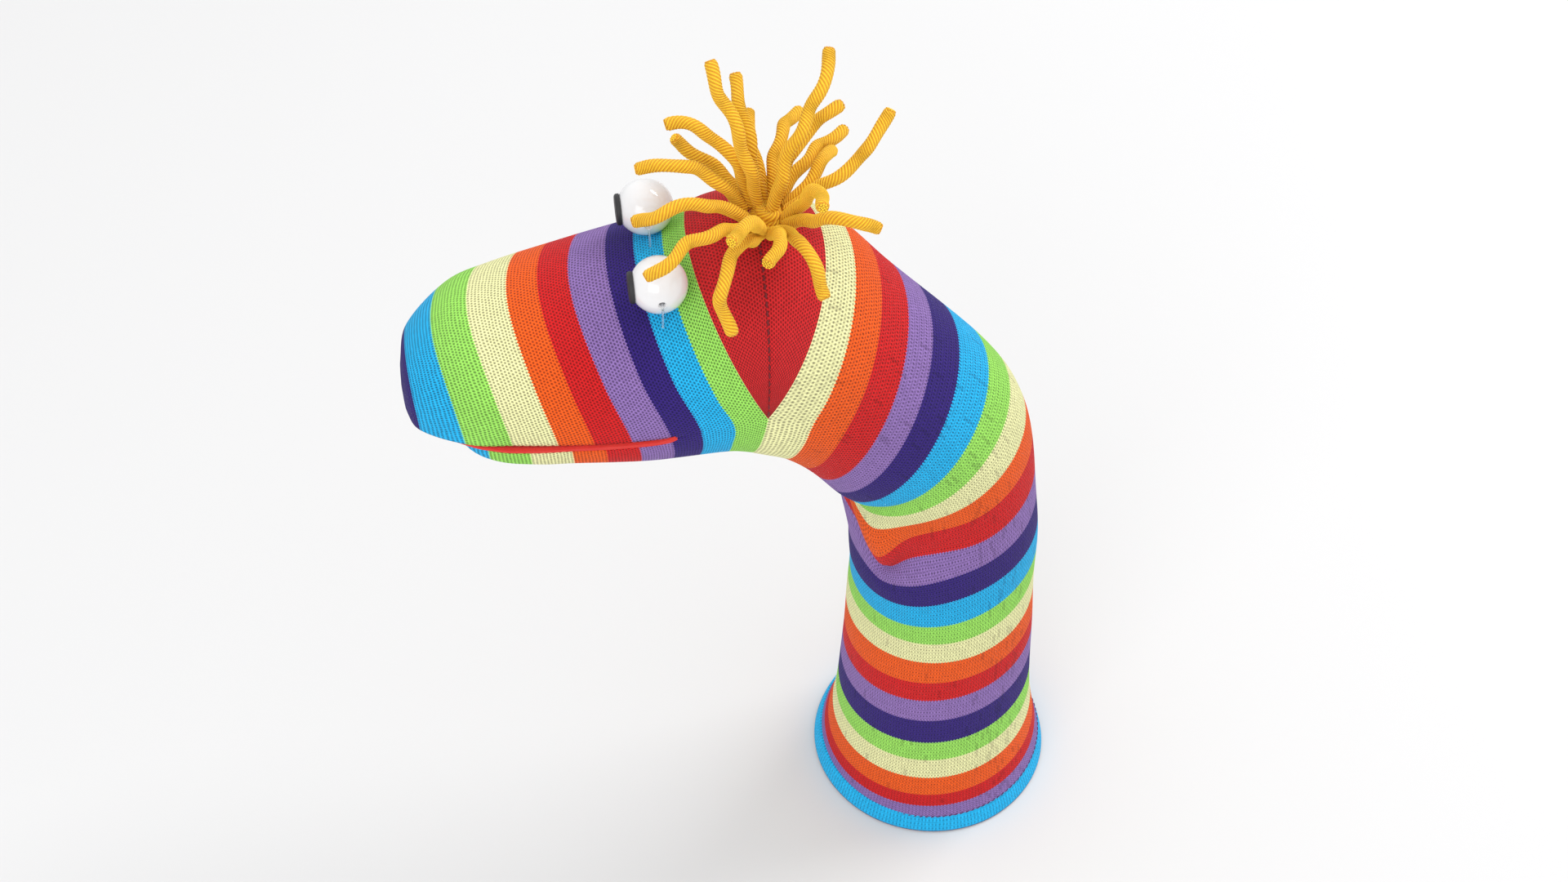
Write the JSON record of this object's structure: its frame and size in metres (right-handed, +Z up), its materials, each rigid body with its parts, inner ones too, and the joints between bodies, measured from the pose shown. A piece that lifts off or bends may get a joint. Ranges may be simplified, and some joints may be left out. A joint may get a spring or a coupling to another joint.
{
  "type": "sock puppet",
  "caption": "Striped knitted sock puppet with a hinged mouth, bead eyes and a tuft of cord hair, worn on the forearm.",
  "frame": {"origin": "centre of the arm opening, on the plane of the hem's edge", "axes": "+Z up the sleeve, away from the opening; the nose points along -Y; the puppet's left is +X"},
  "size_m": [0.104, 0.258, 0.3945],
  "materials": {
    "knit_striped": "fine knit, bands of eight colours",
    "knit_cyan": "fine knit, folded hem",
    "knit_red": "fine knit",
    "felt_red": "matte felt",
    "card": "grey board, matte",
    "bead_white": "high gloss",
    "pupil_black": "matte black foam disc",
    "nylon_clear": "clear monofilament",
    "cord_yellow": "ribbed cotton cord",
    "thread_dark": "sewing thread"
  },
  "bodies": {
    "sleeve": {"hem_band": "knit_cyan", "hem_stitches": "thread_dark", "leg_tube": "knit_striped"},
    "wrist": {"wrist_tube": "knit_striped", "wrist_gusset": "knit_striped"},
    "head": {"neck_shell": "knit_striped", "heel_pocket": "knit_red", "throat_panel": "knit_striped", "heel_stitches": "thread_dark", "foot_shell": "knit_striped", "toe_cap": "knit_striped", "mouth_felt_upper": "felt_red", "mouth_card_upper": "card", "eye_thread": "nylon_clear", "hair_tie": "cord_yellow", "hair_01": "cord_yellow", "hair_02": "cord_yellow", "hair_03": "cord_yellow", "hair_04": "cord_yellow", "hair_05": "cord_yellow", "hair_06": "cord_yellow", "hair_07": "cord_yellow", "hair_08": "cord_yellow", "hair_09": "cord_yellow", "hair_10": "cord_yellow", "hair_11": "cord_yellow", "hair_12": "cord_yellow", "hair_13": "cord_yellow", "hair_14": "cord_yellow", "hair_15": "cord_yellow", "hair_16": "cord_yellow", "hair_17": "cord_yellow", "hair_18": "cord_yellow", "hair_19": "cord_yellow", "hair_20": "cord_yellow"},
    "jaw": {"jaw_shell": "knit_striped", "chin_gusset": "knit_striped", "mouth_felt_lower": "felt_red", "mouth_card_lower": "card"},
    "eye_left": {"eyeball_left": "bead_white", "pupil_left": "pupil_black"},
    "eye_right": {"eyeball_right": "bead_white", "pupil_right": "pupil_black"}
  },
  "joints": [
    {"name": "head_turn", "type": "hinge", "parent": "sleeve", "child": "wrist", "pos_m": [0, 0, 0.12], "axis": [0, 0, 1], "range_deg": [-40, 40]},
    {"name": "wrist_nod", "type": "hinge", "parent": "wrist", "child": "head", "pos_m": [0, -0.006, 0.196], "axis": [-1, 0, 0], "range_deg": [-12, 40], "deforming": ["wrist_gusset"]},
    {"name": "jaw_open", "type": "hinge", "parent": "head", "child": "jaw", "pos_m": [0, -0.11, 0.2855], "axis": [1, 0, 0], "range_deg": [0, 40], "deforming": ["chin_gusset"]},
    {"name": "eye_left_roll", "type": "hinge", "parent": "head", "child": "eye_left", "pos_m": [0.0195, -0.1135, 0.3332], "axis": [1, 0, 0], "range_deg": [-20, 20]},
    {"name": "eye_right_roll", "type": "hinge", "parent": "head", "child": "eye_right", "pos_m": [-0.0195, -0.1135, 0.3332], "axis": [1, 0, 0], "range_deg": [-20, 20]}
  ]
}
